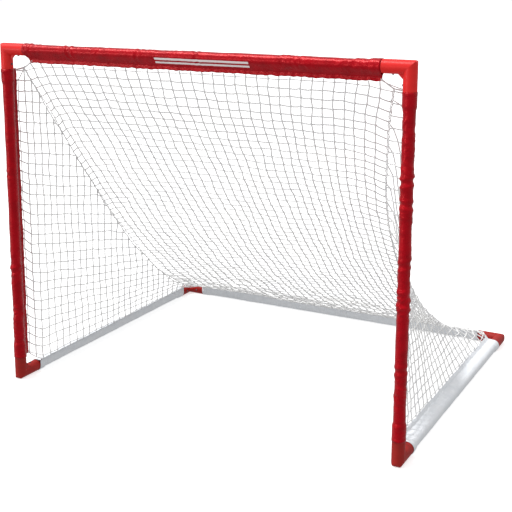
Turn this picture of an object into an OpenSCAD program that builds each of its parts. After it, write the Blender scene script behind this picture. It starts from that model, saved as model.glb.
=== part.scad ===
// Knock-down street hockey goal: push-fit steel tubes, moulded corner elbows with
// spring buttons, nylon sleeves round the tubes and a slack net laced to the sleeves.
// Millimetres. X runs across the goal, Y from the mouth to the back, Z up. The origin
// is on the ground under the middle of the goal.

/* [Goal] */
// Overall width across the elbows
goal_w = 1372; // [1000:1:1900]
// Overall height
goal_h = 1118; // [900:1:1300]
// Overall depth from the posts to the back bar
goal_d = 1118; // [900:1:1300]

/* [Tube] */
// Outer diameter of the steel tube
tube_d = 31.75; // [30:0.25:32]
// Wall of the steel tube
tube_wall = 1.2; // [1:0.1:1.6]
// Length of the reduced end that plugs into the next tube
swage_len = 60; // [40:1:90]

/* [Elbow] */
// Outer diameter of the part of an elbow that shows
elbow_d = 38; // [37:0.5:40]
// Outer diameter of the socket end that the sleeve covers
socket_d = 35.6; // [35:0.1:36]
// Distance from the corner to the end of a socket
socket_reach = 100; // [90:1:120]
// Distance from the corner to the sleeve on most legs
long_reach = 76; // [65:1:85]
// Distance from the corner to the sleeve at the top of a post
top_reach = 63; // [58:1:80]
// Distance from the corner to the sleeve on the foot of a post
foot_reach = 56; // [55:1:70]
// Radius on the outer corner of a top elbow
corner_round = 10; // [4:1:14]
// Radius on the outer corner of an elbow that stands on the ground
heel_round = 15; // [8:1:17]
// Leg of the triangular web in the inner corner of an elbow
web_leg = 13; // [6:1:16]
// Thickness of that web
web_t = 7; // [4:1:12]
// Depth of the flat land moulded under each elbow that stands on the ground
land_depth = 0.5; // [0.3:0.1:1]

/* [Spring button] */
// Distance from the corner to each button
button_reach = 47; // [46:1:50]
// Diameter of a button's pin
button_d = 6; // [5:0.5:7]
// How far a button stands out of its elbow
button_proud = 2.6; // [1.5:0.1:3.5]
// Width of the leaf spring
leaf_w = 9; // [7:0.5:10]
// Thickness of the leaf spring
leaf_t = 0.8; // [0.6:0.1:1]
// Length of the leaf behind the button
leaf_len = 34; // [25:1:45]

/* [Sleeve] */
// Outer diameter of the round part of a sleeve
sleeve_d = 36.9; // [36.7:0.1:36.9]
// Distance from the tube's axis to the sewn edge that the net hangs from
tail_reach = 40; // [34:1:46]
// Angle of the side sleeves' sewn edge above the horizontal
side_tail_angle = 45; // [30:1:60]
// Angle of the back sleeve's sewn edge above the horizontal
back_tail_angle = 45; // [30:1:55]

/* [Net] */
// Thickness of the net panels
net_t = 2; // [1.5:0.1:4]
// Diameter of the lacing twine
lacing_d = 3; // [2:0.5:4]
// Distance from a panel's edge to the line it is laced along
lacing_gap = 4; // [3:0.5:6]

/* [Hidden] */
$fn = 64;

LEFT = -1;
RIGHT = 1;

elbow_r = elbow_d / 2;
tube_r = tube_d / 2;
bore_r = tube_r - tube_wall;
sleeve_r = sleeve_d / 2;

// Axes of the posts and bars
post_x = goal_w / 2 - elbow_r;
front_y = elbow_r - goal_d / 2;
back_y = goal_d / 2 - elbow_r;
top_z = goal_h - elbow_r;
low_z = elbow_r - land_depth;

// Fits
socket_slip = 0.125;
swage_slip = 0.175;
sleeve_slip = 0.2;
button_slip = 0.35;
sleeve_over_socket = 0.25;
net_clear = 1.4;

// A tube stops this far from the corner, at the floor of its socket
socket_floor = 25;
tube_stop = 26;

// The button and its V-shaped leaf spring
button_out = elbow_r + button_proud;
leaf_out = 13.7;
leaf_end_gap = 1;

CROSSBAR_RED = [0.72, 0.03, 0.07];
ELBOW_RED = [0.88, 0.16, 0.14];
SLEEVE_WHITE = [0.86, 0.88, 0.91];
NET_WHITE = [0.93, 0.93, 0.92];
STEEL = [0.62, 0.63, 0.65];
BUTTON_STEEL = [0.25, 0.25, 0.27];

// Points along an arc, from one angle to another
function arc(centre, r, from, to, steps) =
  [for (i = [0 : steps]) let (a = from + (to - from) * i / steps) centre + r * [cos(a), sin(a)]];

// ---- Corners: where each is, the direction and reach of its two legs ----
UP = [0, 0, 1];
DOWN = [0, 0, -1];
BACK = [0, 1, 0];
FORTH = [0, -1, 0];

function inward(side) = [-side, 0, 0];
function top_corner(side) = [[side * post_x, front_y, top_z], inward(side), DOWN];
function front_corner(side) = [[side * post_x, front_y, low_z], UP, BACK];
function back_corner(side) = [[side * post_x, back_y, low_z], FORTH, inward(side)];

// Puts a leg's own axes in place: Z along the leg, X to the inner side of the corner
module on_leg(corner, leg) {
  along = corner[leg];
  inner = corner[3 - leg];
  across = cross(along, inner);
  at = corner[0];
  multmatrix([
    [inner[0], across[0], along[0], at[0]],
    [inner[1], across[1], along[1], at[1]],
    [inner[2], across[2], along[2], at[2]]
  ]) children();
}

// Both legs' tubes run through the corner block; its outer edge is rounded
module corner_block(outer_r) {
  intersection() {
    translate([0, 0, -elbow_r]) cylinder(r = elbow_r, h = elbow_d);
    rotate([0, 90, 0]) translate([0, 0, -elbow_r]) cylinder(r = elbow_r, h = elbow_d);
    rotate([90, 0, 0]) translate([0, 0, -elbow_r]) linear_extrude(elbow_d) union() {
      translate([outer_r - elbow_r, -elbow_r]) square([elbow_d - outer_r, elbow_d]);
      translate([-elbow_r, outer_r - elbow_r]) square([elbow_d, elbow_d - outer_r]);
      translate([1, 1] * (outer_r - elbow_r)) circle(r = outer_r);
    }
  }
}

module elbow_leg(reach) {
  cylinder(r = elbow_r, h = reach);
  cylinder(r = socket_d / 2, h = socket_reach);
}

module elbow_web() {
  inner = elbow_r - 2;
  tip = elbow_r + web_leg;
  rotate([90, 0, 0]) translate([0, 0, -web_t / 2]) linear_extrude(web_t)
    polygon([[inner, inner], [tip, inner], [tip, elbow_r], [elbow_r, tip], [inner, tip]]);
}

module button_hole(slip) {
  translate([0, 0, button_reach]) rotate([0, 90, 0])
    cylinder(r = button_d / 2 + slip, h = elbow_r + 5);
}

module leg_hollow() {
  translate([0, 0, socket_floor]) cylinder(r = tube_r + socket_slip, h = socket_reach);
  button_hole(button_slip);
}

module elbow(corner, reaches) {
  grounded = corner[0][2] == low_z;
  color(ELBOW_RED) difference() {
    union() {
      on_leg(corner, 1) {
        elbow_leg(reaches[0]);
        corner_block(grounded ? heel_round : corner_round);
        elbow_web();
      }
      on_leg(corner, 2) elbow_leg(reaches[1]);
    }
    on_leg(corner, 1) leg_hollow();
    on_leg(corner, 2) leg_hollow();
    if (grounded)
      translate([corner[0][0] - 150, corner[0][1] - 150, -10]) cube([300, 300, 10]);
  }
}

// ---- Tubes, drawn up their own Z from their first corner ----
module tube_body(len, swaged) {
  full = swaged ? len - swage_len : len;
  neck_r = bore_r - swage_slip;
  difference() {
    union() {
      cylinder(r = tube_r, h = full);
      if (swaged) cylinder(r = neck_r, h = len);
    }
    translate([0, 0, -1]) cylinder(r = swaged ? neck_r - tube_wall : bore_r, h = len + 2);
    if (swaged) translate([0, 0, -1]) cylinder(r = bore_r, h = full - 3);
  }
}

// A tube from one corner to another, with a button hole at each end that has a corner
module corner_tube(from, leg, span, far = [], far_leg = 0, swaged = false) {
  color(STEEL) difference() {
    on_leg(from, leg) translate([0, 0, tube_stop]) tube_body(span, swaged);
    on_leg(from, leg) button_hole(button_slip);
    if (len(far) > 0) on_leg(far, far_leg) button_hole(button_slip);
  }
}

half_bar = post_x - tube_stop;
post_len = top_z - low_z - 2 * tube_stop;
side_len = back_y - front_y - 2 * tube_stop;

module swaged_half(corner, leg) {
  corner_tube(corner, leg, half_bar + swage_len, swaged = true);
}

module plain_half(corner, leg) {
  corner_tube(corner, leg, half_bar);
}

module post_tube(side) {
  corner_tube(front_corner(side), 1, post_len, top_corner(side), 2);
}

module side_tube(side) {
  corner_tube(front_corner(side), 2, side_len, back_corner(side), 1);
}

// ---- Spring buttons: a domed pin riveted to the leaf that carries it ----
module button(corner, leg) {
  dome = button_d / 4;
  leaf_in = leaf_out - leaf_t;
  color(BUTTON_STEEL) on_leg(corner, leg) union() {
    translate([0, 0, button_reach]) rotate([0, 90, 0]) rotate_extrude() union() {
      translate([0, leaf_in]) square([button_d / 2, button_out - dome - leaf_in]);
      translate([0, leaf_in]) square([button_d / 2 - dome, button_out - leaf_in]);
      translate([button_d / 2 - dome, button_out - dome]) circle(r = dome);
    }
    translate([leaf_in, -leaf_w / 2, button_reach - 6]) cube([leaf_t, leaf_w, leaf_len + 6]);
  }
}

// The rest of the V: the bend, and the arm that bears on the far side of the tube
module button_spring(corner, leg) {
  arm_x = 13.8;
  bend = [(leaf_out - arm_x) / 2, button_reach + leaf_len + leaf_end_gap];
  bend_r = (arm_x + leaf_out) / 2;
  color(BUTTON_STEEL) on_leg(corner, leg)
    translate([0, leaf_w / 2, 0]) rotate([90, 0, 0]) linear_extrude(leaf_w) polygon(concat(
      [[-arm_x, button_reach]],
      arc(bend, bend_r, 180, 0, 16),
      arc(bend, bend_r - leaf_t, 0, 180, 16),
      [[leaf_t - arm_x, button_reach]]
    ));
}

module button_springs() {
  for (side = [LEFT, RIGHT], leg = [1, 2]) {
    button_spring(top_corner(side), leg);
    button_spring(front_corner(side), leg);
    button_spring(back_corner(side), leg);
  }
}

// ---- Sleeves: fabric round the tube, sewn together into a flat tail ----
module sleeve_outline() {
  edge = 0.9;
  meet = [tail_reach * 0.7, edge];
  leave = atan2(edge, meet[0]) + acos(sleeve_r / norm(meet));
  difference() {
    polygon(concat(
      arc([0, 0], sleeve_r, leave, 360 - leave, 48),
      [[meet[0], -edge], [tail_reach, -edge], [tail_reach, edge], meet]
    ));
    circle(r = tube_r + sleeve_slip);
  }
}

// Drawn up its own Z, with the tail towards its own X
module sleeve(len, first_cover, last_cover) {
  cover_r = socket_d / 2 + sleeve_over_socket;
  difference() {
    linear_extrude(len) sleeve_outline();
    translate([0, 0, -1]) cylinder(r = cover_r, h = first_cover + 2);
    translate([0, 0, len - last_cover - 1]) cylinder(r = cover_r, h = last_cover + 2);
  }
}

end_gap = 0.5;
long_cover = socket_reach - long_reach;
top_cover = socket_reach - top_reach;
foot_cover = socket_reach - foot_reach;

module crossbar_sleeve() {
  len = 2 * (post_x - long_reach - end_gap);
  color(CROSSBAR_RED) translate([-len / 2, front_y, top_z])
    rotate([0, 90, 0]) sleeve(len, long_cover, long_cover);
}

module post_sleeve(side) {
  bottom = low_z + foot_reach + end_gap;
  top = top_z - top_reach - end_gap;
  color(CROSSBAR_RED) translate([side * post_x, front_y, bottom])
    rotate([0, 0, 90]) sleeve(top - bottom, foot_cover, top_cover);
}

module side_sleeve(side) {
  start = front_y + long_reach + end_gap;
  len = back_y - front_y - 2 * (long_reach + end_gap);
  color(SLEEVE_WHITE) translate([side * post_x, start + len, low_z]) rotate([90, 0, 0])
    rotate([0, 0, side > 0 ? 180 - side_tail_angle : side_tail_angle])
      sleeve(len, long_cover, long_cover);
}

module back_sleeve() {
  len = 2 * (post_x - long_reach - end_gap);
  color(SLEEVE_WHITE) translate([-len / 2, back_y, low_z]) rotate([0, 90, 0])
    rotate([0, 0, -90 - back_tail_angle]) sleeve(len, long_cover, long_cover);
}

// ---- Net: slack panels between the sewn edges, on two curves ----
function bezier(p, t) =
  pow(1 - t, 3) * p[0] + 3 * pow(1 - t, 2) * t * p[1] + 3 * (1 - t) * t * t * p[2] + t * t * t * p[3];
function mix(a, b, k) = a * (1 - k) + b * k;

side_tail = [post_x - tail_reach * cos(side_tail_angle), low_z + tail_reach * sin(side_tail_angle)];
back_tail = [back_y - tail_reach * cos(back_tail_angle), low_z + tail_reach * sin(back_tail_angle)];

// How the back panel hangs at the middle, from the crossbar to the back bar
hang = [
  [0, front_y, top_z - tail_reach - net_clear],
  [0, front_y + 60, 790],
  [0, front_y + 450, 215],
  [0, back_tail[0] - 2, back_tail[1] + net_clear]
];

// The ridge where the back panel meets a side panel, drawn in towards the middle
ridge = [
  [post_x - 50, front_y + 20, top_z - 60],
  [520, front_y + 175, 720],
  [445, front_y + 425, 215],
  [post_x - 50, back_y - 47, low_z + 37]
];

// How closely the back panel keeps to its middle shape before it turns to the ridge
edge_power = 10;

function back_point(u, v) =
  let (
    middle = bezier(hang, v),
    edge = bezier(ridge, v),
    share = pow(abs(u), edge_power),
    drop = mix(middle, edge, share)
  ) [u * (edge[0] - lacing_gap), drop[1], drop[2]];

// The side panel's four edges: the post, the ridge, the side bar and the top corner
post_edge_y = front_y + tail_reach + net_clear;
post_low = [post_x, post_edge_y, low_z + foot_reach];
post_high = [post_x, post_edge_y, top_z - top_reach];
bar_front = [side_tail[0], front_y + long_reach, side_tail[1] + net_clear];
bar_back = [side_tail[0], back_y - long_reach, side_tail[1] + net_clear];
turn = 0.06;

function bar_edge(s) =
  s < turn ? mix(post_low, bar_front, s / turn)
  : s > 1 - turn ? mix(bar_back, ridge[3], (s - 1 + turn) / turn)
  : mix(bar_front, bar_back, (s - turn) / (1 - 2 * turn));

function side_point(s, t) =
  let (
    front = mix(post_low, post_high, t),
    rear = bezier(ridge, 1 - t),
    ends = mix(front, rear, s),
    sides = mix(bar_edge(s), mix(post_high, ridge[0], s), t),
    corners = mix(mix(post_low, ridge[3], s), mix(post_high, ridge[0], s), t)
  ) ends + sides - corners;

// The share of a row that stops short of the ridge by the lacing gap
function row_end(t) = 1 - lacing_gap / norm(bezier(ridge, 1 - t) - mix(post_low, post_high, t));

// A thin closed sheet through a grid of points, thickened by a vector each way
module sheet(grid, half) {
  rows = len(grid);
  cols = len(grid[0]);
  n = rows * cols;
  points = [
    for (way = [1, -1], i = [0 : rows - 1], j = [0 : cols - 1]) grid[i][j] + way * half
  ];
  faces = concat(
    [for (i = [0 : rows - 2], j = [0 : cols - 2]) let (a = i * cols + j) [a, a + 1, a + cols + 1]],
    [for (i = [0 : rows - 2], j = [0 : cols - 2]) let (a = i * cols + j) [a, a + cols + 1, a + cols]],
    [for (i = [0 : rows - 2], j = [0 : cols - 2]) let (a = n + i * cols + j) [a, a + cols + 1, a + 1]],
    [for (i = [0 : rows - 2], j = [0 : cols - 2]) let (a = n + i * cols + j) [a, a + cols, a + cols + 1]],
    [for (j = [0 : cols - 2]) [j, n + j, n + j + 1]],
    [for (j = [0 : cols - 2]) [j, n + j + 1, j + 1]],
    [for (j = [0 : cols - 2]) let (a = n - cols + j) [a, a + 1, n + a + 1]],
    [for (j = [0 : cols - 2]) let (a = n - cols + j) [a, n + a + 1, n + a]],
    [for (i = [0 : rows - 2]) let (a = i * cols) [a, a + cols, n + a + cols]],
    [for (i = [0 : rows - 2]) let (a = i * cols) [a, n + a + cols, n + a]],
    [for (i = [0 : rows - 2]) let (a = i * cols + cols - 1) [a, n + a, n + a + cols]],
    [for (i = [0 : rows - 2]) let (a = i * cols + cols - 1) [a, n + a + cols, a + cols]]
  );
  polyhedron(points, faces);
}

back_cols = 22;
back_rows = 16;
side_cols = 12;
side_rows = 16;

module back_net() {
  color(NET_WHITE) sheet(
    [for (i = [0 : back_rows]) [for (j = [0 : back_cols]) back_point(1 - 2 * j / back_cols, i / back_rows)]],
    [0, 0.7, 0.7] * net_t / 2
  );
}

module side_net(side) {
  color(NET_WHITE) mirror([side < 0 ? 1 : 0, 0, 0]) sheet(
    [for (i = [0 : side_rows]) let (t = i / side_rows)
      [for (j = [0 : side_cols]) side_point(row_end(t) * j / side_cols, t)]],
    [-0.9, -0.3, -0.3] * net_t / 2
  );
}

// A round cord swept along a line of points; ring axes are taken across the path
module cord(path, d, sides = 8) {
  last = len(path) - 1;
  rings = [
    for (i = [0 : last]) let (
      way = path[min(i + 1, last)] - path[max(i - 1, 0)],
      a = cross(way, [1, 0, 0]) / norm(cross(way, [1, 0, 0])),
      b = cross(way, a) / norm(cross(way, a))
    ) for (k = [0 : sides - 1])
      path[i] + d / 2 * (a * cos(k * 360 / sides) + b * sin(k * 360 / sides))
  ];
  polyhedron(rings, concat(
    [[for (k = [0 : sides - 1]) sides - 1 - k]],
    [for (i = [0 : last - 1], k = [0 : sides - 1]) let (a = i * sides, m = (k + 1) % sides)
      [a + k, a + m, a + sides + m, a + sides + k]],
    [[for (k = [0 : sides - 1]) last * sides + k]]
  ));
}

lacing_rings = 28;

module ridge_lacing(side) {
  color(NET_WHITE) mirror([side < 0 ? 1 : 0, 0, 0])
    cord([for (i = [0 : lacing_rings]) bezier(ridge, 0.02 + 0.96 * i / lacing_rings)], lacing_d);
}

module rod(from, to, d) {
  way = to - from;
  translate(from) rotate([0, acos(way[2] / norm(way)), atan2(way[1], way[0])])
    cylinder(d = d, h = norm(way), $fn = 24);
}

// Short cords across the bare elbows, between the ends of the sleeves and clear of the net
module corner_ties() {
  tie_d = 2.5;
  end_clear = 3;
  post_y = front_y + tail_reach;
  bar_end = [post_x - long_reach + 2, front_y, top_z - tail_reach + end_clear];
  post_end = [post_x, post_y + 3, top_z - top_reach + 10];
  foot_end = [post_x, post_y, low_z + foot_reach - 5];
  side_front = [side_tail[0], front_y + long_reach - end_clear, side_tail[1] - 5];
  side_back = [side_tail[0], back_y - long_reach + end_clear, side_tail[1] - 4];
  back_end = [post_x - long_reach + end_clear, back_tail[0], back_tail[1] - 4];
  color(NET_WHITE) for (side = [LEFT, RIGHT]) mirror([side < 0 ? 1 : 0, 0, 0]) {
    rod(bar_end, post_end, tie_d);
    rod(foot_end, side_front, tie_d);
    rod(side_back, back_end, tie_d);
  }
}

elbow(top_corner(LEFT), [long_reach, top_reach]);  // top_left_elbow
elbow(top_corner(RIGHT), [long_reach, top_reach]);  // top_right_elbow
elbow(front_corner(LEFT), [foot_reach, long_reach]);  // front_left_elbow
elbow(front_corner(RIGHT), [foot_reach, long_reach]);  // front_right_elbow
elbow(back_corner(LEFT), [long_reach, long_reach]);  // back_left_elbow
elbow(back_corner(RIGHT), [long_reach, long_reach]);  // back_right_elbow

swaged_half(top_corner(LEFT), 1);  // crossbar_left_tube
plain_half(top_corner(RIGHT), 1);  // crossbar_right_tube
post_tube(LEFT);  // left_post_tube
post_tube(RIGHT);  // right_post_tube
side_tube(LEFT);  // left_side_tube
side_tube(RIGHT);  // right_side_tube
swaged_half(back_corner(LEFT), 2);  // back_left_tube
plain_half(back_corner(RIGHT), 2);  // back_right_tube

button(top_corner(LEFT), 1);  // crossbar_left_button
button(top_corner(RIGHT), 1);  // crossbar_right_button
button(top_corner(LEFT), 2);  // left_post_top_button
button(top_corner(RIGHT), 2);  // right_post_top_button
button(front_corner(LEFT), 1);  // left_post_foot_button
button(front_corner(RIGHT), 1);  // right_post_foot_button
button(front_corner(LEFT), 2);  // left_side_front_button
button(front_corner(RIGHT), 2);  // right_side_front_button
button(back_corner(LEFT), 1);  // left_side_back_button
button(back_corner(RIGHT), 1);  // right_side_back_button
button(back_corner(LEFT), 2);  // back_left_button
button(back_corner(RIGHT), 2);  // back_right_button
button_springs();

crossbar_sleeve();
post_sleeve(LEFT);  // left_post_sleeve
post_sleeve(RIGHT);  // right_post_sleeve
side_sleeve(LEFT);  // left_side_sleeve
side_sleeve(RIGHT);  // right_side_sleeve
back_sleeve();

back_net();
side_net(LEFT);  // left_side_net
side_net(RIGHT);  // right_side_net
ridge_lacing(LEFT);  // left_ridge_lacing
ridge_lacing(RIGHT);  // right_ridge_lacing
corner_ties();
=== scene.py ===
import math

import bpy
import numpy as np
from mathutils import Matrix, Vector, noise


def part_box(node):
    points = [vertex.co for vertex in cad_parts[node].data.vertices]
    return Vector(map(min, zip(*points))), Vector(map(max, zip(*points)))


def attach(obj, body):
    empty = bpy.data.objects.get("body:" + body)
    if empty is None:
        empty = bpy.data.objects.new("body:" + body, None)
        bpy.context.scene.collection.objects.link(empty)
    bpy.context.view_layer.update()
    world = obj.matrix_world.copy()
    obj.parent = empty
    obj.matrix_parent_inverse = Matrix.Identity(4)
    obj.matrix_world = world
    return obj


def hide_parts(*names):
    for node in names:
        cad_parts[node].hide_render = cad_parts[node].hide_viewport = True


# A free-standing street hockey goal, in metres: X across the mouth, Y from the mouth to the back, Z up.
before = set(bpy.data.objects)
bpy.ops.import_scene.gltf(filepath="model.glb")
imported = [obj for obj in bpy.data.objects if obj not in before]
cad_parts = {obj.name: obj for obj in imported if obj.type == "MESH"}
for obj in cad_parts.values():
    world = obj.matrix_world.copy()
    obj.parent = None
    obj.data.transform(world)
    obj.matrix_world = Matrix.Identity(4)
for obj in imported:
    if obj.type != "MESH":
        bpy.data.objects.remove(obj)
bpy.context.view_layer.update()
rng = np.random.default_rng(7)
# Blender's noise starts from the clock unless it has a seed
noise.seed_set(7)

X, Y, Z = np.eye(3)
DOWN = -Z


def middle(node, axis):
    """The middle of a CAD node along an axis."""
    low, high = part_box(node)
    return (low[axis] + high[axis]) / 2


# ---- Where the frame is: the axes of its tubes, and the ends of its sleeves ----
POST_X = middle("right_post_tube", 0)
FRONT_Y = middle("right_post_tube", 1)
BACK_Y = middle("back_right_tube", 1)
TOP_Z = middle("crossbar_right_tube", 2)
LOW_Z = middle("right_side_tube", 2)
BAR_LOW, BAR_HIGH = (np.array(c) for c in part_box("crossbar_sleeve"))
POST_LOW, POST_HIGH = (np.array(c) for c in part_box("right_post_sleeve"))
SIDE_LOW, SIDE_HIGH = (np.array(c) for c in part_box("right_side_sleeve"))
BACK_LOW, BACK_HIGH = (np.array(c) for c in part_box("back_sleeve"))
TUBE_R = (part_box("right_post_tube")[1].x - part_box("right_post_tube")[0].x) / 2
TAIL_REACH = TOP_Z - BAR_LOW[2]
SIDE_TAIL = math.radians(45)
BACK_TAIL = math.radians(45)
END_GAP = 0.0005
LONG_REACH = POST_X - BAR_HIGH[0] - END_GAP
TOP_REACH = TOP_Z - POST_HIGH[2] - END_GAP
FOOT_REACH = POST_LOW[2] - LOW_Z - END_GAP
SOCKET_R = 0.0178
SOCKET_REACH = 0.100

# ---- The net's design curves, close to those of the CAD panels ----
# The foot of each ridge is 6 mm lower and 5 mm further back here than in the CAD.
# The net hangs NET_CLEAR off a sewn edge, and each panel stops LACING_GAP short of the ridge. EDGE_POWER
# keeps the back panel on its hang curve until near the ridges. TURN is the share of a side panel's lower
# edge, at each end, that crosses a bare elbow.
NET_CLEAR = 0.0014
LACING_GAP = 0.0015
EDGE_POWER = 10
TURN = 0.06
side_tail = (POST_X - TAIL_REACH * math.cos(SIDE_TAIL), LOW_Z + TAIL_REACH * math.sin(SIDE_TAIL))
back_tail = (BACK_Y - TAIL_REACH * math.cos(BACK_TAIL), LOW_Z + TAIL_REACH * math.sin(BACK_TAIL))
HANG = np.array([
    (0, FRONT_Y, TOP_Z - TAIL_REACH - NET_CLEAR),
    (0, FRONT_Y + 0.060, 0.790),
    (0, FRONT_Y + 0.450, 0.215),
    (0, back_tail[0] - 0.002, back_tail[1] + NET_CLEAR),
])
RIDGE = np.array([
    (POST_X - 0.050, FRONT_Y + 0.020, TOP_Z - 0.060),
    (0.520, FRONT_Y + 0.175, 0.720),
    (0.445, FRONT_Y + 0.425, 0.215),
    (POST_X - 0.050, BACK_Y - 0.042, LOW_Z + 0.031),
])
post_edge_y = FRONT_Y + TAIL_REACH + NET_CLEAR
POST_EDGE_LOW = np.array((POST_X, post_edge_y, LOW_Z + FOOT_REACH))
POST_EDGE_HIGH = np.array((POST_X, post_edge_y, TOP_Z - TOP_REACH))
BAR_EDGE_FRONT = np.array((side_tail[0], FRONT_Y + LONG_REACH, side_tail[1] + NET_CLEAR))
BAR_EDGE_BACK = np.array((side_tail[0], BACK_Y - LONG_REACH, side_tail[1] + NET_CLEAR))

BACK_CELLS = 34
BACK_MESH = 0.026
SIDE_MESH = 0.033
SELVEDGE = 0.007
TWINE_R = 0.00210
CORD_R = 0.00150
RIDGE_R = 0.00130
LACING_R = 0.00090
# Which way each side panel's upright twines are counted off from the post, and how far apart they are
LEAN = {-1: math.radians(36), 1: math.radians(78)}
SIDE_PITCH = 0.037
# How far a twine bows between its knots, as a share of the gap
COLUMN_BOW = 0.030
ROW_BOW = 0.055
SIDE_ROW_BOW = 0.05
EDGE_COLUMN_BOW = 0.010
EDGE_ROW_BOW = 0.020
# How far the back panel's columns are drawn toward the right: at the crossbar, and from halfway down
PULL_TOP = 0.075
PULL_LOW = 0.15
# How far the net wanders in wide and in close waves, and how far each knot slips on its own
WIDE_SLACK = 0.0050
CLOSE_SLACK = 0.0016
KNOT_SLIP = 0.0010
# How far the crossbar sleeve's sewn edge is cut back at its left end. The cords there start further in
BAR_CUT = 0.020
LACING_TURNS = 44


# ---- Small maths ----
def unit(v):
    v = np.asarray(v, float)
    return v / np.maximum(np.linalg.norm(v, axis=-1, keepdims=True), 1e-12)


def mix(a, b, k):
    return a * (1 - k) + b * k


def ramp(x, low, high):
    """0 below low, 1 above high, and smooth between them."""
    t = np.clip((x - low) / (high - low), 0, 1)
    return t * t * (3 - 2 * t)


def bezier(p, t):
    t = np.asarray(t, float)[..., None]
    return (1 - t) ** 3 * p[0] + 3 * (1 - t) ** 2 * t * p[1] + 3 * (1 - t) * t * t * p[2] + t ** 3 * p[3]


def hashed(i, j, seed):
    """A repeatable number from -1 to 1 for each place on a square lattice."""
    n = (i.astype(np.int64) * 73856093) ^ (j.astype(np.int64) * 19349663) ^ (seed * 83492791)
    n = (n ^ (n >> 13)) * 1274126177
    return ((n ^ (n >> 16)) & 0xFFFFF) / 524287.5 - 1


def ripple(x, y, seed):
    """Smooth gradient noise over a plane, from about -1 to 1."""
    i, j = np.floor(x), np.floor(y)
    dx, dy = x - i, y - j
    sx, sy = (d * d * d * (d * (d * 6 - 15) + 10) for d in (dx, dy))

    def corner(a, b):
        turn = hashed(i + a, j + b, seed) * math.pi
        return np.cos(turn) * (dx - a) + np.sin(turn) * (dy - b)

    low = mix(corner(0, 0), corner(1, 0), sx)
    high = mix(corner(0, 1), corner(1, 1), sx)
    return 1.5 * mix(low, high, sy)


def crest(x, y, seed):
    """Noise with sharp crests, for creases: 1 on a crest and 0 or less away from it."""
    return 1 - 3.2 * np.abs(ripple(x, y, seed))


# ---- Meshes ----
def make_piece(name, points, faces, material, body="frame"):
    data = bpy.data.meshes.new(name)
    data.from_pydata([tuple(p) for p in points], [], faces)
    data.polygons.foreach_set("use_smooth", [True] * len(data.polygons))
    data.materials.append(material)
    data.update()
    obj = bpy.data.objects.new(name, data)
    bpy.context.scene.collection.objects.link(obj)
    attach(obj, body)
    return obj


class Builder:
    """Collects the points and faces of many small shapes that make one piece."""

    def __init__(self):
        self.points, self.faces, self.count = [], [], 0

    def add(self, points, faces):
        self.points.append(np.asarray(points))
        self.faces += [tuple(int(i) + self.count for i in f) for f in faces]
        self.count += len(points)

    def piece(self, name, material, body="frame"):
        return make_piece(name, np.vstack(self.points), self.faces, material, body)


def across(way):
    """A unit vector across a direction."""
    guide = X if abs(way[0]) < 0.7 else Z
    return unit(np.cross(way, guide))


def cord_mesh(path, radius, sides=5, taper=1.0):
    """A round cord along a path, with closed ends. Its rings turn as little as they can."""
    path = np.asarray(path, float)
    way = unit(np.gradient(path, axis=0))
    side = across(way[0])
    turns = np.arange(sides) * 2 * math.pi / sides
    points = []
    for k, (p, w) in enumerate(zip(path, way)):
        side = unit(side - w * np.dot(side, w))
        up = np.cross(w, side)
        r = radius * (taper if k in (0, len(path) - 1) else 1)
        points += [p + r * (side * math.cos(a) + up * math.sin(a)) for a in turns]
    faces = []
    for k in range(len(path) - 1):
        for m in range(sides):
            a, b = k * sides + m, k * sides + (m + 1) % sides
            faces.append((a, b, b + sides, a + sides))
    last = (len(path) - 1) * sides
    faces.append(tuple(range(sides))[::-1])
    faces.append(tuple(last + m for m in range(sides)))
    return points, faces


# ---- Materials: all procedural ----
WEAVE = 420.0
PRINT_WHITE = (0.90, 0.88, 0.88)


def set_range(node, *levels):
    for socket, level in zip(("From Min", "From Max", "To Min", "To Max"), levels):
        node.inputs[socket].default_value = level


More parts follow.
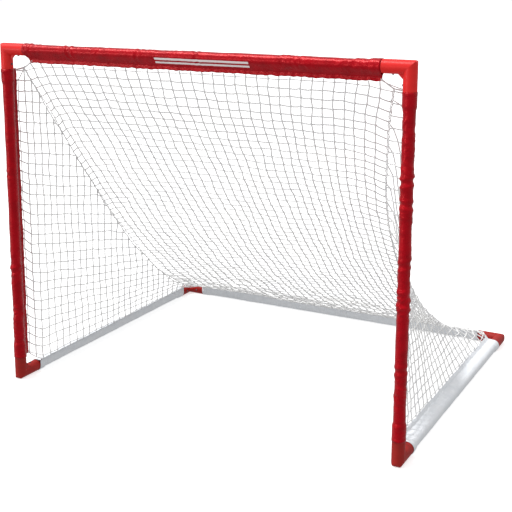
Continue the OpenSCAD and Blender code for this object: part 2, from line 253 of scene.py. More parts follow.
class Shader:
    """A Principled material and short ways to add nodes to it."""

    def __init__(self, name, colour, roughness, **sockets):
        self.material = bpy.data.materials.new(name)
        self.material.use_nodes = True
        self.tree = self.material.node_tree
        self.main = self.tree.nodes["Principled BSDF"]
        self.main.inputs["Base Color"].default_value = (*colour, 1)
        self.main.inputs["Roughness"].default_value = roughness
        for socket, value in sockets.items():
            self.main.inputs[socket.replace("_", " ")].default_value = value

    def node(self, kind, **inputs):
        n = self.tree.nodes.new("ShaderNode" + kind)
        for socket, value in inputs.items():
            target = n.inputs[socket.replace("_", " ")]
            if isinstance(value, bpy.types.NodeSocket):
                self.tree.links.new(value, target)
            else:
                target.default_value = value
        return n

    def link(self, source, socket):
        self.tree.links.new(source, self.main.inputs[socket])

    def place(self):
        """Object coordinates, in metres."""
        return self.node("TexCoord").outputs["Object"]

    def cloth(self):
        """How far along and round a sleeve a point is, in metres."""
        n = self.node("Attribute")
        n.attribute_name = "cloth"
        return n.outputs["Vector"]

    def stretched(self, vector, scale):
        n = self.node("Mapping", Vector=vector, Scale=scale)
        return n.outputs["Vector"]

    def clouds(self, vector, scale, detail=3.0, rough=0.5):
        n = self.node("TexNoise", Vector=vector, Scale=scale, Detail=detail, Roughness=rough)
        return n.outputs["Fac"]

    def levels(self, value, low, high, to_low=0.0, to_high=1.0):
        n = self.node("MapRange", Value=value)
        set_range(n, low, high, to_low, to_high)
        return n.outputs["Result"]

    def maths(self, operation, a, b=0.0):
        n = self.tree.nodes.new("ShaderNodeMath")
        n.operation = operation
        for socket, value in zip(n.inputs, (a, b)):
            if isinstance(value, bpy.types.NodeSocket):
                self.tree.links.new(value, socket)
            else:
                socket.default_value = value
        return n.outputs[0]

    def blend(self, share, a, b):
        n = self.tree.nodes.new("ShaderNodeMix")
        n.data_type = "RGBA"
        sockets = [s for s in n.inputs if s.enabled]
        for socket, value in zip(sockets, (share, a, b)):
            if isinstance(value, bpy.types.NodeSocket):
                self.tree.links.new(value, socket)
            else:
                socket.default_value = value if isinstance(value, float) else (*value, 1)
        return next(s for s in n.outputs if s.enabled)

    def bump(self, height, strength, distance, under=None):
        n = self.node("Bump", Height=height, Strength=strength, Distance=distance)
        if under is not None:
            self.tree.links.new(under, n.inputs["Normal"])
        return n.outputs["Normal"]

    def wave(self, vector, scale, direction="X"):
        n = self.node("TexWave", Vector=vector, Scale=scale)
        n.bands_direction = direction
        return n.outputs["Fac"]


def fabric(name, colour, deep, worn, roughness, gloss, tint, prints=()):
    """Woven nylon: a plain weave, shallow crinkles and softly varied colour. prints are white bands."""
    s = Shader(name, colour, roughness, Sheen_Weight=0.02, Sheen_Roughness=0.35, Specular_IOR_Level=gloss,
               Specular_Tint=(*tint, 1.0))
    cloth = s.cloth()
    soft = s.levels(s.clouds(cloth, scale=28.0), 0.35, 0.70)
    tone = s.blend(soft, colour, deep)
    wear = s.clouds(s.stretched(cloth, (1.0, 2.6, 1.0)), scale=90.0, detail=4.0, rough=0.6)
    tone = s.blend(s.levels(wear, 0.58, 0.76, 0.0, 0.45), tone, worn)
    parts = s.node("SeparateXYZ", Vector=cloth)
    for first, last, low, high in prints:
        mask = 1.0
        for axis, start, end in (("X", first, last), ("Y", low, high)):
            place = parts.outputs[axis]
            after = s.maths("GREATER_THAN", place, start)
            before = s.maths("LESS_THAN", place, end)
            mask = s.maths("MULTIPLY", s.maths("MULTIPLY", after, before), mask)
        tone = s.blend(mask, tone, PRINT_WHITE)
    s.link(tone, "Base Color")
    shine = s.clouds(cloth, scale=160.0)
    s.link(s.levels(shine, 0.3, 0.7, roughness - 0.07, roughness + 0.09), "Roughness")
    weave = s.maths("MULTIPLY", s.wave(cloth, WEAVE), s.wave(cloth, WEAVE, "Y"))
    crinkle = s.clouds(s.stretched(cloth, (1.0, 0.55, 1.0)), scale=75.0, detail=5.0, rough=0.62)
    fine = s.bump(weave, strength=0.25, distance=0.00012)
    s.link(s.bump(crinkle, strength=0.55, distance=0.0030, under=fine), "Normal")
    return s.material


def moulded(name, colour, flow_tone, roughness):
    """Moulded polyethylene: an orange-peel grain, faint flow marks, scattered scuffs and softened edges."""
    s = Shader(name, colour, roughness, Specular_IOR_Level=0.25)
    place = s.place()
    marks = s.clouds(s.stretched(place, (1.0, 1.0, 2.5)), scale=22.0, detail=4.0)
    tone = s.blend(s.levels(marks, 0.35, 0.75), colour, flow_tone)
    scratches = s.clouds(s.stretched(place, (3.0, 1.0, 1.0)), scale=140.0, detail=6.0, rough=0.7)
    scuff = s.levels(scratches, 0.66, 0.80, 0.0, 0.55)
    pale = tuple(min(1.0, c * 0.8 + 0.07) for c in colour)
    s.link(s.blend(scuff, tone, pale), "Base Color")
    shine = s.clouds(place, scale=260.0)
    s.link(s.levels(shine, 0.3, 0.7, roughness - 0.06, roughness + 0.12), "Roughness")
    rounded = s.node("Bevel", Radius=0.0011).outputs["Normal"]
    grain = s.clouds(place, scale=900.0, detail=2.0)
    peel = s.bump(grain, strength=0.20, distance=0.0002, under=rounded)
    waves = s.clouds(place, scale=120.0, detail=3.0)
    s.link(s.bump(waves, strength=0.12, distance=0.0008, under=peel), "Normal")
    return s.material


def twine(name, colour, shade):
    """Twisted polyester twine: slanting strands, painted shade in the grooves between them, and a little
    fluff.
    """
    s = Shader(name, colour, 0.72, Sheen_Weight=0.25, Sheen_Roughness=0.5, Specular_IOR_Level=0.3)
    place = s.place()
    strands = s.node("TexWave", Vector=place, Scale=190.0, Distortion=2.5)
    strands.bands_direction = "DIAGONAL"
    tone = s.blend(s.levels(s.clouds(place, scale=9.0), 0.35, 0.7), colour, shade)
    # Painted shade: the grooves between the strands, where the bump is low, are darkened in the base colour
    groove_shade = s.levels(strands.outputs["Fac"], 0.0, 0.5, 0.30, 0.0)
    s.link(s.blend(groove_shade, tone, tuple(c * 0.8 for c in shade)), "Base Color")
    s.link(s.bump(strands.outputs["Fac"], strength=0.7, distance=0.0004), "Normal")
    return s.material


def metal(name, colour, roughness):
    """Drawn and plated steel, with fine lines along it and a few stains."""
    s = Shader(name, colour, roughness, Metallic=1.0)
    place = s.place()
    stain = s.levels(s.clouds(place, scale=35.0, detail=5.0), 0.55, 0.8, 0.0, 0.5)
    s.link(s.blend(stain, colour, tuple(c * 0.45 for c in colour)), "Base Color")
    lines = s.clouds(s.stretched(place, (1.0, 1.0, 0.06)), scale=700.0, detail=2.0)
    s.link(s.levels(lines, 0.2, 0.8, roughness - 0.08, roughness + 0.12), "Roughness")
    s.link(s.bump(lines, strength=0.15, distance=0.0001), "Normal")
    return s.material


def thread(name, colour):
    """Sewing thread."""
    s = Shader(name, colour, 0.55, Sheen_Weight=0.3)
    lay = s.wave(s.place(), 900.0, "DIAGONAL")
    s.link(s.blend(s.levels(lay, 0.0, 1.0, 0.0, 0.4), colour, tuple(c * 0.5 for c in colour)), "Base Color")
    s.link(s.bump(lay, strength=0.5, distance=0.0001), "Normal")
    return s.material


# ---- Sleeves: fabric wrapped round a tube and sewn to itself ----
PLY = 0.0004
WRAP_R = 0.0172
# Heights of the cloth's folds, small folds and bulges before a sleeve's own slack, and its creases' gain
FOLD = 0.00130
SMALL_FOLD = 0.00060
BULGE = 0.00075
CREASE_GAIN = 1.15
# Over a socket the cloth stands off by CUFF, wrinkles less, and comes down over CUFF_FADE
CUFF = 0.0020
CUFF_FADE = 0.012
CUFF_WRINKLE = 0.60
HEM_WIDTH = 0.0095
HEM_STEP = 0.0008
# Waves of the sewn edge, sideways and outward, each a length and a height
PUCKER = ((0.011, 0.0007), (0.045, 0.0014))
SCALLOP = ((0.017, 0.0020), (0.060, 0.0014))
# The cloth stays this far above the floor
LEAST_Z = 0.00015
# How far from a sleeve's end its slanted cut reaches
CUT_REACH = 0.05
THREAD_R = 0.00033
STITCH_PITCH = 0.0042
STITCH_LENGTH = 0.0029


def waver(a, waves, seed):
    """Ripples along a sewn edge, at distances a along it."""
    return sum(ripple(a / length, 0 * a, seed + n) * height for n, (length, height) in enumerate(waves))


def sleeve_profile():
    """The teardrop outline of a sleeve's section.

    It gives places as (toward the tail, sideways), outward normals, distances round the outline, and how
    much each place is part of the flat tail.
    """
    edge = 0.0007
    meet = TAIL_REACH * 0.7
    leave = math.atan2(edge, meet) + math.acos(WRAP_R / math.hypot(meet, edge))
    flat = [(x, edge) for x in np.linspace(TAIL_REACH, meet, 7)]
    start = WRAP_R * np.array((math.cos(leave), math.sin(leave)))
    slope = [tuple(mix(np.array((meet, edge)), start, k)) for k in np.linspace(0, 1, 9)[1:-1]]
    arc = [(WRAP_R * math.cos(a), WRAP_R * math.sin(a)) for a in np.linspace(leave, 2 * math.pi - leave, 47)]
    upper = flat + slope
    places = np.array(upper + arc + [(x, -y) for x, y in reversed(upper)])
    steps = np.linalg.norm(np.diff(places, axis=0), axis=1)
    round_way = np.concatenate([[0], np.cumsum(steps)])
    tangent = unit(np.gradient(places, axis=0))
    normal = np.stack([tangent[:, 1], -tangent[:, 0]], axis=1)
    normal *= np.sign(np.sum(normal * (places - (0.004, 0)), axis=1))[:, None]
    flatness = ramp(places[:, 0], WRAP_R * 0.75, meet)
    return places, normal, round_way, flatness


PROFILE = sleeve_profile()


class Sleeve:
    """One sleeve: its place, its creases and its surface."""

    def __init__(self, name, start, along, tail, length, covers, material, seed,
                 slack=1.0, creases=(), tail_cuts=(0.0, 0.0)):
        self.name, self.start, self.along, self.tail = name, np.array(start), along, np.array(tail, float)
        self.side = np.cross(self.along, self.tail)
        self.length, self.covers, self.material, self.seed = length, covers, material, seed
        self.slack, self.creases, self.tail_cuts = slack, creases, tail_cuts

    def height(self, a, w):
        """How far the cloth stands off its snug shape, at a along and w round the sleeve."""
        s = self.seed
        lean = 0.35 * ripple(a / 0.16, w / 0.3, s + 1)
        folds = crest(a / 0.034 + w / 0.05 * (0.5 + lean), w / 0.060 + a / 0.20, s + 2)
        small = crest(a / 0.016 - w / 0.040, w / 0.028 + a / 0.11, s + 3)
        bulge = ripple(a / 0.085, w / 0.11, s + 4)
        gathered = np.clip(0.30 + 1.1 * ripple(a / 0.12, w / 0.20, s + 9), 0.06, 1)
        h = FOLD * np.clip(folds, -0.6, 1) + SMALL_FOLD * np.clip(small, -0.5, 1)
        h = h * gathered + BULGE * bulge
        h = h * self.slack
        for place, depth, tilt, spread in self.creases:
            gap = (a - place - tilt * (w - 0.075)) / spread
            shoulders = 1.1 * np.exp(-((np.abs(gap) - 1.6) / 0.9) ** 2)
            h = h + CREASE_GAIN * depth * (shoulders - np.exp(-gap * gap))
        return h

    def surface(self, a, k):
        """Points at distances a along, for the profile places with whole-number or part index k."""
        places, normal, round_way, flatness = PROFILE
        at = np.arange(len(places))
        x, y = (np.interp(k, at, places[:, m]) for m in (0, 1))
        nx, ny = (np.interp(k, at, normal[:, m]) for m in (0, 1))
        w = np.interp(k, at, round_way)
        flat = np.interp(k, at, flatness)
        left = self.length - a
        near_start = ramp(self.covers[0] + CUFF_FADE - a, 0, CUFF_FADE)
        near_end = ramp(self.covers[1] + CUFF_FADE - left, 0, CUFF_FADE)
        over_socket = np.maximum(near_start, near_end)
        hem = ramp(HEM_WIDTH - np.minimum(a, left), 0, HEM_STEP) * PLY
        lift = mix(0.0, SOCKET_R + CUFF - WRAP_R, over_socket)
        h = self.height(a, w) * mix(1.0, CUFF_WRINKLE, over_socket)
        h = np.maximum(h, mix(TUBE_R + PLY + 0.0001 - WRAP_R, 0, over_socket))
        off = (lift + h) * (1 - flat) + hem
        x = x + nx * off + waver(a, SCALLOP, self.seed + 7) * flat ** 3
        y = y + ny * off + waver(a, PUCKER, self.seed + 5) * flat ** 1.5
        near_first, near_last = np.clip(1 - a / CUT_REACH, 0, 1), np.clip(1 - left / CUT_REACH, 0, 1)
        droop = np.clip((x - WRAP_R * 0.4) / (TAIL_REACH - WRAP_R * 0.4), 0, 1)
        a = a + droop * (self.tail_cuts[0] * near_first - self.tail_cuts[1] * near_last)
        p = self.start + a[..., None] * self.along + x[..., None] * self.tail + y[..., None] * self.side
        p[..., 2] = np.maximum(p[..., 2], LEAST_Z)
        return p, w

    def build(self):
        """The sleeve's cloth, with the places along and round it that its weave and prints follow."""
        cols = len(PROFILE[0])
        rows = int(self.length / 0.0032)
        ends = np.array([0, 0.004, 0.0085, 0.0092, 0.010])
        inner = np.linspace(0.013, self.length - 0.013, rows)
        a = np.concatenate([ends, inner, self.length - ends[::-1]])
        grid_a, grid_k = np.meshgrid(a, np.arange(cols, dtype=float), indexing="ij")
        points, w = self.surface(grid_a, grid_k)
        n = len(a)
        faces = []
        for i in range(n - 1):
            for j in range(cols):
                m = (j + 1) % cols
                faces.append((i * cols + j, i * cols + m, (i + 1) * cols + m, (i + 1) * cols + j))
        obj = make_piece(self.name + "_fabric", points.reshape(-1, 3), faces, self.material)
        cloth = obj.data.attributes.new("cloth", "FLOAT_VECTOR", "POINT")
        values = np.stack([grid_a, w, 0 * w], axis=-1).reshape(-1)
        cloth.data.foreach_set("vector", values.astype(np.float32))
        wall = obj.modifiers.new("ply", "SOLIDIFY")
        wall.thickness = PLY
        wall.offset = -1
        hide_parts(self.name)
        return obj

    def stitches(self, material):
        """A row of stitches along each face of the tail."""
        work = Builder()
        cols = len(PROFILE[0])

        def stitch(a_mid, k_mid):
            ends = []
            for f in (-0.5, -0.3, 0, 0.3, 0.5):
                p, _ = self.surface(np.array([a_mid + f * STITCH_LENGTH]), np.array([k_mid]))
                ends.append(p[0])
            near, _ = self.surface(np.array([a_mid + 0.001, a_mid]), np.array([k_mid, k_mid + 0.3]))
            out = unit(np.cross(near[0] - ends[2], near[1] - ends[2]))
            middle_of_tube = self.start + self.along * a_mid + self.tail * 0.004
            out = out * np.sign(np.dot(out, ends[2] - middle_of_tube) or 1)
            raised = [p + out * r for p, r in zip(ends, (-0.0001, 0.0002, 0.0003, 0.0002, -0.0001))]
            work.add(*cord_mesh(raised, THREAD_R, 5, 0.6))

        for k in (5.0, cols - 6.0):
            for a_mid in np.arange(0.006, self.length - 0.006, STITCH_PITCH):
                stitch(a_mid, k)
        return work.piece(self.name + "_stitching", material)


# ---- The net panels ----
def back_point(u, v):
    """A point of the back panel: u is -1 to 1 across, and v is 0 at the crossbar and 1 at the back bar."""
    edge = bezier(RIDGE, v)
    drop = mix(bezier(HANG, v), edge, (np.abs(u) ** EDGE_POWER)[..., None])
    return np.stack([u * (edge[..., 0] - LACING_GAP), drop[..., 1], drop[..., 2]], axis=-1)


def bar_edge(s):
    """The lower edge of a side panel, from the post at s = 0 to the ridge's foot at s = 1."""
    s = np.asarray(s, float)[..., None]
    first = mix(POST_EDGE_LOW, BAR_EDGE_FRONT, s / TURN)
    last = mix(BAR_EDGE_BACK, RIDGE[3], (s - 1 + TURN) / TURN)
    run = mix(BAR_EDGE_FRONT, BAR_EDGE_BACK, (s - TURN) / (1 - 2 * TURN))
    return np.where(s < TURN, first, np.where(s > 1 - TURN, last, run))


def side_point(s, t):
    """A point of the right side panel: s from the post to the ridge, and t from the side bar up."""
    s, t = np.broadcast_arrays(np.asarray(s, float), np.asarray(t, float))
    ks, kt = s[..., None], t[..., None]
    top = mix(POST_EDGE_HIGH, RIDGE[0], ks)
    ends = mix(mix(POST_EDGE_LOW, POST_EDGE_HIGH, kt), bezier(RIDGE, 1 - t), ks)
    corners = mix(mix(POST_EDGE_LOW, RIDGE[3], ks), top, kt)
    return ends + mix(bar_edge(s), top, kt) - corners


def from_post(p, lean):
    """How far side net points are from the post, by which the net's upright twines are spaced."""
    return math.cos(lean) * (POST_X - p[..., 0]) + math.sin(lean) * (p[..., 1] - post_edge_y)


def row_end(t):
    """How far along a side panel's row its twine ends, just short of the ridge."""
    post_edge = mix(POST_EDGE_LOW, POST_EDGE_HIGH, np.asarray(t)[..., None])
    span = np.linalg.norm(bezier(RIDGE, 1 - t) - post_edge, axis=-1)
    return 1 - LACING_GAP / span


def rim_distance(p):
    """How far a net point is from the nearest sewn edge."""
    ax = np.abs(p[..., 0])
    posts = np.hypot(ax - POST_X, p[..., 1] - post_edge_y)
    bar = np.hypot(p[..., 1] - HANG[0, 1], p[..., 2] - HANG[0, 2])
    sides = np.hypot(ax - side_tail[0], p[..., 2] - side_tail[1])
    back = np.hypot(p[..., 1] - back_tail[0], p[..., 2] - back_tail[1])
    return np.minimum(np.minimum(posts, bar), np.minimum(sides, back))


def loosen(points):
    """Slack in the net: a soft wander that fades out at the sewn edges, the same wherever panels meet."""
    points = np.asarray(points, float)
    flat = points.reshape(-1, 3)
    free = ramp(rim_distance(flat), 0.010, 0.110)[:, None]
    wide = np.array([noise.noise_vector(Vector(p) * 7.0 + Vector((3.1, 0, 0))) for p in flat])
    close = np.array([noise.noise_vector(Vector(p) * 19.0) for p in flat])
    return (flat + free * (WIDE_SLACK * wide + CLOSE_SLACK * close)).reshape(points.shape)


def strand(points, slack):
    """A twine through its knots, which bows down and a little sideways in each gap."""
    path = [points[0]]
    for a, b in zip(points[:-1], points[1:]):
        reach = np.linalg.norm(b - a)
        lean = unit(rng.normal(size=3)) * 0.7 + DOWN * 0.6
        bow = slack * reach * lean
        path += [mix(a, b, 0.28) + bow * 0.85, mix(a, b, 0.70) + bow * 0.9, b]
    return np.array(path)


def knot(work, at, row_way, col_way):
    """The twine's turn round itself at a crossing."""
    row_way, col_way = unit(row_way), unit(col_way)
    axle = unit(col_way + row_way * (0.55 + 0.15 * rng.normal()))
    u = across(axle)
    v = np.cross(axle, u)
    size = 1 + 0.1 * rng.normal()
    big, small = TWINE_R * size, TWINE_R * 0.62 * size
    ring, sides = 7, 4
    points, faces = [], []
    for i in range(ring):
        a = 2 * math.pi * i / ring
        out = u * math.cos(a) + v * math.sin(a)
        centre = at + out * big + axle * (TWINE_R * 0.8 * math.sin(a))
        for j in range(sides):
            b = 2 * math.pi * j / sides
            points.append(centre + small * (out * math.cos(b) + axle * 1.25 * math.sin(b)))
            faces.append((
                i * sides + j, i * sides + (j + 1) % sides,
                (i + 1) % ring * sides + (j + 1) % sides, (i + 1) % ring * sides + j,
            ))
    work.add(points, faces)


def steps_along(length, mesh):
    """Distances of the cross twines along a panel: a short step at each end and whole cells between."""
    count = round((length - 2 * SELVEDGE) / mesh)
    return SELVEDGE + np.arange(count + 1) * (length - 2 * SELVEDGE) / count


def back_net(material):
    """The back panel: a twine down each column, one across each row and a knot at every crossing."""
    fine = np.linspace(0, 1, 600)
    run = np.linalg.norm(np.diff(bezier(HANG, fine), axis=0), axis=1)
    far = np.concatenate([[0], np.cumsum(run)])
    v = np.interp(np.concatenate([[0], steps_along(far[-1], BACK_MESH), [far[-1]]]), far, fine)
    grid_v, grid_u = np.meshgrid(v, np.linspace(-1, 1, BACK_CELLS + 1), indexing="ij")
    pulled = mix(PULL_TOP, PULL_LOW, ramp(grid_v, 0.0, 0.5))
    knots = loosen(back_point(grid_u + pulled * (1 - grid_u ** 2), grid_v))
    knots[1:-1, 1:-1] += rng.normal(size=knots[1:-1, 1:-1].shape) * KNOT_SLIP
    # The columns' own ends lie on the sewn edges
    knots[0, 1:-1, 1:] = HANG[0][1:]
    knots[-1, 1:-1, 1:] = HANG[-1][1:]
    rows, cols = knots.shape[:2]
    twines, ties = Builder(), Builder()
    for j in range(cols):
        edge = j in (0, cols - 1)
        bow, radius = (EDGE_COLUMN_BOW, RIDGE_R) if edge else (COLUMN_BOW, TWINE_R)
        twines.add(*cord_mesh(strand(knots[:, j], bow), radius))
    for i in range(1, rows - 1):
        edge = i in (1, rows - 2)
        bow, radius = (EDGE_ROW_BOW, CORD_R) if edge else (ROW_BOW, TWINE_R)
        twines.add(*cord_mesh(strand(knots[i], bow), radius))
    for i in range(1, rows - 1):
        for j in range(cols):
            low, high = max(j - 1, 0), min(j + 1, cols - 1)
            knot(ties, knots[i, j], knots[i, high] - knots[i, low], knots[i + 1, j] - knots[i - 1, j])
    obj = twines.piece("back_net_twine", material)
    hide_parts("back_net")
    tied = ties.piece("back_net_knots", material)
    return [obj, tied]


def side_net(side, material):
    """A side panel: upright twines spaced off from the post, and one across each level."""
    name = "left" if side < 0 else "right"
    turn = np.array((side, 1, 1))
    heights = POST_EDGE_HIGH[2] - POST_EDGE_LOW[2]
    levels = np.concatenate([[0], steps_along(heights, SIDE_MESH) / heights])
    s_fine = np.linspace(0, 1, 400)
    edge_t = np.linspace(0, 1, 300)
    lean = LEAN[side]
    edge = from_post(side_point(row_end(edge_t), edge_t), lean)
    pitch = SIDE_PITCH * math.sin(lean)
    far = np.arange(SELVEDGE * math.sin(lean), edge[0] - pitch / 2, pitch)
    edge_rise = np.interp(far, edge[::-1], edge_t[::-1])
    crossing = np.zeros((len(levels), len(far), 3))
    for i, level in enumerate(levels):
        s = np.interp(far, from_post(side_point(s_fine, level), lean), s_fine)
        crossing[i] = side_point(s, level)
    crossing = loosen(crossing)
    crossing[1:] += rng.normal(size=crossing[1:].shape) * KNOT_SLIP
    twines, ties = Builder(), Builder()
    tops = [int(np.searchsorted(levels, rise - 0.008)) for rise in edge_rise]
    for k, rise in enumerate(edge_rise):
        top = loosen(side_point(row_end(rise), rise))
        path = np.vstack([crossing[:tops[k], k], top[None]])
        radius = CORD_R if k == 0 else TWINE_R
        twines.add(*cord_mesh(strand(path * turn, COLUMN_BOW), radius))
    for i in range(1, len(levels)):
        inside = [k for k in range(len(far)) if tops[k] > i]
        start = loosen(side_point(0.0, levels[i]))
        end = loosen(side_point(row_end(levels[i]), levels[i]))
        path = np.vstack([start[None], crossing[i, inside], end[None]])
        radius = CORD_R if i == 1 else TWINE_R
        twines.add(*cord_mesh(strand(path * turn, SIDE_ROW_BOW), radius))
        for n, k in enumerate(inside):
            way = path[min(n + 2, len(path) - 1)] - path[n]
            rise = crossing[min(i + 1, tops[k] - 1), k] - crossing[i - 1, k]
            knot(ties, path[n + 1] * turn, way * turn, rise * turn)
    border = loosen(side_point(row_end(np.linspace(0, 1, 46)), np.linspace(0, 1, 46)))
    twines.add(*cord_mesh(border * turn, RIDGE_R))
    obj = twines.piece(name + "_side_net_twine", material)
    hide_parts(name + "_side_net")
    tied = ties.piece(name + "_side_net_knots", material)
    return [obj, tied]


def ridge_lacing(side, material):
    """A twine wound round the edges of a side panel and the back panel, pulling them together."""
    name = "left" if side < 0 else "right"
    turn = np.array((side, 1, 1))
    per_turn = 8
    start = 0.012
    path = []
    for n in range(LACING_TURNS * per_turn + 1):
        v = start + (1 - 2 * start) * n / (LACING_TURNS * per_turn)
        a = 2 * math.pi * n / per_turn
        on_back = back_point(np.array(1.0), np.array(v))
        on_side = side_point(row_end(1 - v), 1 - v)
        centre = (on_back + on_side) / 2
        reach = (on_back - on_side) / 2
        reach = reach * (1 + (LACING_R + RIDGE_R) / max(np.linalg.norm(reach), 1e-4))
        way = unit(bezier(RIDGE, v + 0.005) - bezier(RIDGE, v - 0.005))
        lift = unit(np.cross(way, reach)) * (RIDGE_R + LACING_R)
        path.append(centre + reach * math.cos(a) + lift * math.sin(a))
    path = loosen(np.array(path)) * turn
    work = Builder()
    work.add(*cord_mesh(path, LACING_R))
    obj = work.piece(name + "_ridge_twine", material)
    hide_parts(name + "_ridge_lacing")
    return obj


def slack_line(a, b, drop, count=9):
    """A cord held at both ends that hangs a little."""
    k = np.linspace(0, 1, count)
    line = mix(np.array(a)[None], np.array(b)[None], k[:, None])
    return line + DOWN * (drop * 4 * k * (1 - k))[:, None]


def corner_cords(material):
    """The net's border cords and lashings, across each bare elbow."""
    work = Builder()
    bar_end = np.array((POST_X - LONG_REACH - 0.004, FRONT_Y - 0.0005, TOP_Z - TAIL_REACH + 0.003))
    post_top = np.array((POST_X, FRONT_Y + TAIL_REACH - 0.003, TOP_Z - TOP_REACH - 0.004))
    post_foot = np.array((POST_X, FRONT_Y + TAIL_REACH - 0.003, LOW_Z + FOOT_REACH + 0.004))
    side_front = np.array((side_tail[0] + 0.002, FRONT_Y + LONG_REACH + 0.004, side_tail[1] - 0.002))
    side_back = np.array((side_tail[0] + 0.002, BACK_Y - LONG_REACH - 0.004, side_tail[1] - 0.002))
    back_end = np.array((POST_X - LONG_REACH - 0.004, back_tail[0] + 0.002, back_tail[1] - 0.001))
    for side in (-1, 1):
        turn = np.array((side, 1, 1))
        bar = bar_end - ((BAR_CUT + 0.002, 0, 0) if side < 0 else (0, 0, 0))
        for a, b, drop, r in (
            (bar, post_top, 0.004, CORD_R),
            (bar + (0, 0, 0.004), RIDGE[0], 0.001, TWINE_R),
            (post_top, RIDGE[0], 0.001, TWINE_R),
            (post_foot, side_front, 0.003, CORD_R),
            (side_back, back_end, 0.003, CORD_R),
            (side_back, RIDGE[3], 0.001, TWINE_R),
            (back_end, RIDGE[3], 0.001, TWINE_R),
        ):
            work.add(*cord_mesh(slack_line(a, b, drop) * turn, r))
    obj = work.piece("corner_cords", material)
    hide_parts("corner_ties")
    return obj


# ---- Materials of everything ----
RED = (0.410, 0.0006, 0.008)
RED_DEEP = (0.290, 0.0004, 0.006)
RED_WORN = (0.560, 0.006, 0.012)
SATIN = (1.0, 0.10, 0.10)
# Two plain white bands on the crossbar: where they start and end along it, and their places round the sleeve
BAND_START = 0.487
BAND_END = 0.795
BANDS = [(BAND_START, BAND_END, low, high) for low, high in ((0.1035, 0.1105), (0.1165, 0.1235))]


def red_fabric(name, prints=()):
    return fabric(name, RED, RED_DEEP, RED_WORN, roughness=0.30, gloss=1.0, tint=SATIN, prints=prints)


red_cloth = red_fabric("red_nylon")
printed_cloth = red_fabric("red_nylon_printed", BANDS)
white_cloth = fabric(
    "white_nylon", (0.82, 0.84, 0.87), (0.76, 0.79, 0.83), (0.87, 0.88, 0.90),
    roughness=0.48, gloss=0.20, tint=(1.0, 1.0, 1.0),
)
net_twine = twine("net_twine", (0.91, 0.91, 0.90), (0.84, 0.84, 0.85))
red_thread = thread("red_thread", (0.50, 0.02, 0.03))
white_thread = thread("white_thread", (0.75, 0.77, 0.80))
top_plastic = moulded("red_plastic", (0.80, 0.018, 0.016), (0.70, 0.014, 0.013), roughness=0.40)
# Painted shade: the ground elbows' plastic is a darker copy of the top elbows' red, for the less light that
# falls low down
ground_plastic_shaded = moulded("red_plastic_painted_shade", (0.37, 0.013, 0.009), (0.30, 0.012, 0.009), roughness=0.50)
tube_steel = metal("tube_steel", (0.62, 0.63, 0.65), roughness=0.34)
spring_steel = metal("spring_steel", (0.16, 0.16, 0.17), roughness=0.38)


def dress_cad_nodes():
    """Better materials on the CAD nodes that stay."""
    for name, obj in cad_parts.items():
        if name.startswith("top_"):
            look = top_plastic
        elif "elbow" in name:
            # Every other elbow gets the darker plastic with its painted shade
            look = ground_plastic_shaded
        elif "tube" in name:
            look = tube_steel
        elif "button" in name:
            look = spring_steel
        else:
            continue
        for slot in obj.material_slots:
            slot.material = look


# A sleeve's creases: place along it, depth, tilt round it and half width
BAR_CREASES = (
    (0.17, 0.0016, 0.25, 0.007),
    (0.43, 0.0009, -0.2, 0.006),
    (0.62, 0.0008, 0.3, 0.006),
)
LEFT_CREASES = (
    (0.30, 0.0010, 0.2, 0.007),
    (0.62, 0.0008, -0.2, 0.006),
)
RIGHT_CREASES = (
    (0.725, 0.0018, 0.15, 0.007),
    (0.665, 0.0014, -0.1, 0.007),
    (0.500, 0.0014, 0.2, 0.007),
    (0.395, 0.0012, -0.15, 0.007),
    (0.205, 0.0012, 0.1, 0.007),
)


def make_sleeves():
    """The six sleeves, each with its stitches."""
    long_cover = SOCKET_REACH - LONG_REACH
    foot_cover = SOCKET_REACH - FOOT_REACH
    top_cover = SOCKET_REACH - TOP_REACH
    bar_length = BAR_HIGH[0] - BAR_LOW[0]
    post_length = POST_HIGH[2] - POST_LOW[2]
    side_length = SIDE_HIGH[1] - SIDE_LOW[1]
    back_length = BACK_HIGH[0] - BACK_LOW[0]
    sleeves = [
        Sleeve("crossbar_sleeve", (BAR_LOW[0], FRONT_Y, TOP_Z), X, -Z, bar_length, (long_cover, long_cover),
               printed_cloth, 11, slack=1.3, creases=BAR_CREASES, tail_cuts=(BAR_CUT, 0.0)),
        Sleeve("left_post_sleeve", (-POST_X, FRONT_Y, POST_LOW[2]), Z, Y, post_length,
               (foot_cover, top_cover), red_cloth, 23, slack=1.5, creases=LEFT_CREASES),
        Sleeve("right_post_sleeve", (POST_X, FRONT_Y, POST_LOW[2]), Z, Y, post_length,
               (foot_cover, top_cover), red_cloth, 37, slack=1.7, creases=RIGHT_CREASES),
    ]
    for side, name, seed in ((-1, "left", 41), (1, "right", 53)):
        tail = (-side * math.cos(SIDE_TAIL), 0, math.sin(SIDE_TAIL))
        start = (side * POST_X, SIDE_LOW[1], LOW_Z)
        sleeves.append(Sleeve(name + "_side_sleeve", start, Y, tail, side_length,
                              (long_cover, long_cover), white_cloth, seed, slack=0.7))
    tail = (0, -math.cos(BACK_TAIL), math.sin(BACK_TAIL))
    sleeves.append(Sleeve("back_sleeve", (BACK_LOW[0], BACK_Y, LOW_Z), X, tail, back_length,
                          (long_cover, long_cover), white_cloth, 67, slack=0.9))
    for sleeve in sleeves:
        red = sleeve.material is not white_cloth
        cloth = sleeve.build()
        sewn = sleeve.stitches(red_thread if red else white_thread)


def make_net():
    """The net's panels, the lacings between them and the cords across the bare elbows."""
    pieces = back_net(net_twine)
    for side in (-1, 1):
        pieces += side_net(side, net_twine)
        pieces.append(ridge_lacing(side, net_twine))
    pieces.append(corner_cords(net_twine))


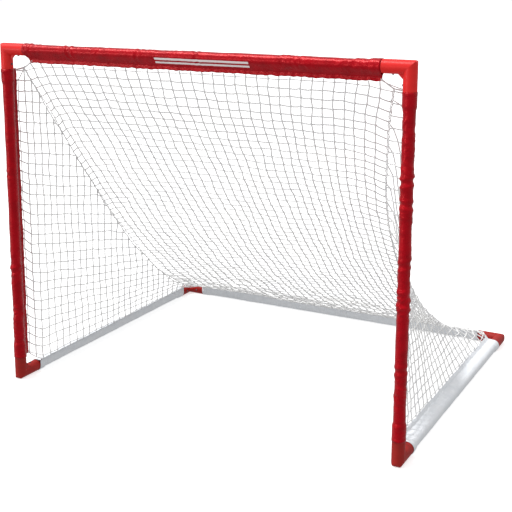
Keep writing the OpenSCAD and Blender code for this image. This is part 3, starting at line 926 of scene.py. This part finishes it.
# ---- Stage: a white sheet of paper, a pale dome and two soft suns ----
FLOOR_HALF = 15.0
FLOOR_Z = -0.0003
PAPER_GREY = 0.60
PAPER_GLOW = 0.66
# The dome's strength rises from below the horizon to overhead, and the camera sees a plain white instead
DOME_FROM, DOME_TO = -0.3, 1.0
DOME_LOW, DOME_HIGH = 0.48, 0.90
BACKDROP = 1.02


def make_floor():
    half = FLOOR_HALF
    corners = [(-half, -half, 0), (half, -half, 0), (half, half, 0), (-half, half, 0)]
    data = bpy.data.meshes.new("floor")
    data.from_pydata(corners, [], [(0, 1, 2, 3)])
    floor = bpy.data.objects.new("floor", data)
    floor.location.z = FLOOR_Z
    paper = bpy.data.materials.new("paper")
    paper.use_nodes = True
    coat = paper.node_tree.nodes["Principled BSDF"].inputs
    coat["Base Color"].default_value = (PAPER_GREY, PAPER_GREY, PAPER_GREY, 1)
    coat["Roughness"].default_value = 0.95
    coat["Specular IOR Level"].default_value = 0.0
    coat["Emission Color"].default_value = (1, 1, 1, 1)
    coat["Emission Strength"].default_value = PAPER_GLOW
    data.materials.append(paper)
    floor.visible_diffuse = False
    floor.visible_glossy = False
    bpy.context.scene.collection.objects.link(floor)


def make_world():
    world = bpy.data.worlds.new("studio")
    world.use_nodes = True
    tree = world.node_tree
    dome = tree.nodes["Background"]
    dome.inputs["Color"].default_value = (1, 1, 1, 1)
    way = tree.nodes.new("ShaderNodeTexCoord")
    parts = tree.nodes.new("ShaderNodeSeparateXYZ")
    fade = tree.nodes.new("ShaderNodeMapRange")
    set_range(fade, DOME_FROM, DOME_TO, DOME_LOW, DOME_HIGH)
    tree.links.new(way.outputs["Generated"], parts.inputs["Vector"])
    tree.links.new(parts.outputs["Z"], fade.inputs["Value"])
    tree.links.new(fade.outputs["Result"], dome.inputs["Strength"])
    seen = tree.nodes.new("ShaderNodeBackground")
    seen.inputs["Color"].default_value = (1, 1, 1, 1)
    seen.inputs["Strength"].default_value = BACKDROP
    ray = tree.nodes.new("ShaderNodeLightPath")
    both = tree.nodes.new("ShaderNodeMixShader")
    tree.links.new(ray.outputs["Is Camera Ray"], both.inputs[0])
    tree.links.new(dome.outputs[0], both.inputs[1])
    tree.links.new(seen.outputs[0], both.inputs[2])
    tree.links.new(both.outputs[0], tree.nodes["World Output"].inputs["Surface"])
    bpy.context.scene.world = world


def make_sun(name, energy, spread, towards):
    """A sun in the given direction from the goal, spread over some degrees."""
    light = bpy.data.lights.new(name, "SUN")
    light.energy = energy
    light.angle = math.radians(spread)
    lamp = bpy.data.objects.new(name, light)
    lamp.rotation_euler = Vector(towards).to_track_quat("Z", "Y").to_euler()
    bpy.context.scene.collection.objects.link(lamp)


# ---- Camera: its place, and its pitch below level, roll and heading in degrees ----
LENS = 71.5
SENSOR = 36
SHIFT_Y = -0.15
CAMERA_PLACE = (1.527, -3.025, 1.329)
PITCH, ROLL, HEADING = 11.36, -0.15, 27.74


def make_camera():
    camera = bpy.data.cameras.new("camera")
    camera.lens = LENS
    camera.sensor_width = SENSOR
    camera.shift_y = SHIFT_Y
    obj = bpy.data.objects.new("camera", camera)
    obj.location = CAMERA_PLACE
    obj.rotation_euler = (math.radians(90 - PITCH), math.radians(ROLL), math.radians(HEADING))
    bpy.context.scene.collection.objects.link(obj)
    bpy.context.scene.camera = obj


bpy.context.scene.view_settings.view_transform = "Standard"
make_camera()
make_floor()
make_world()
make_sun("key", energy=2.2, spread=9, towards=(-0.50, -0.25, 1.0))
make_sun("fill", energy=0.60, spread=12, towards=(-0.8, -1.0, 0.04))
dress_cad_nodes()
make_sleeves()
make_net()
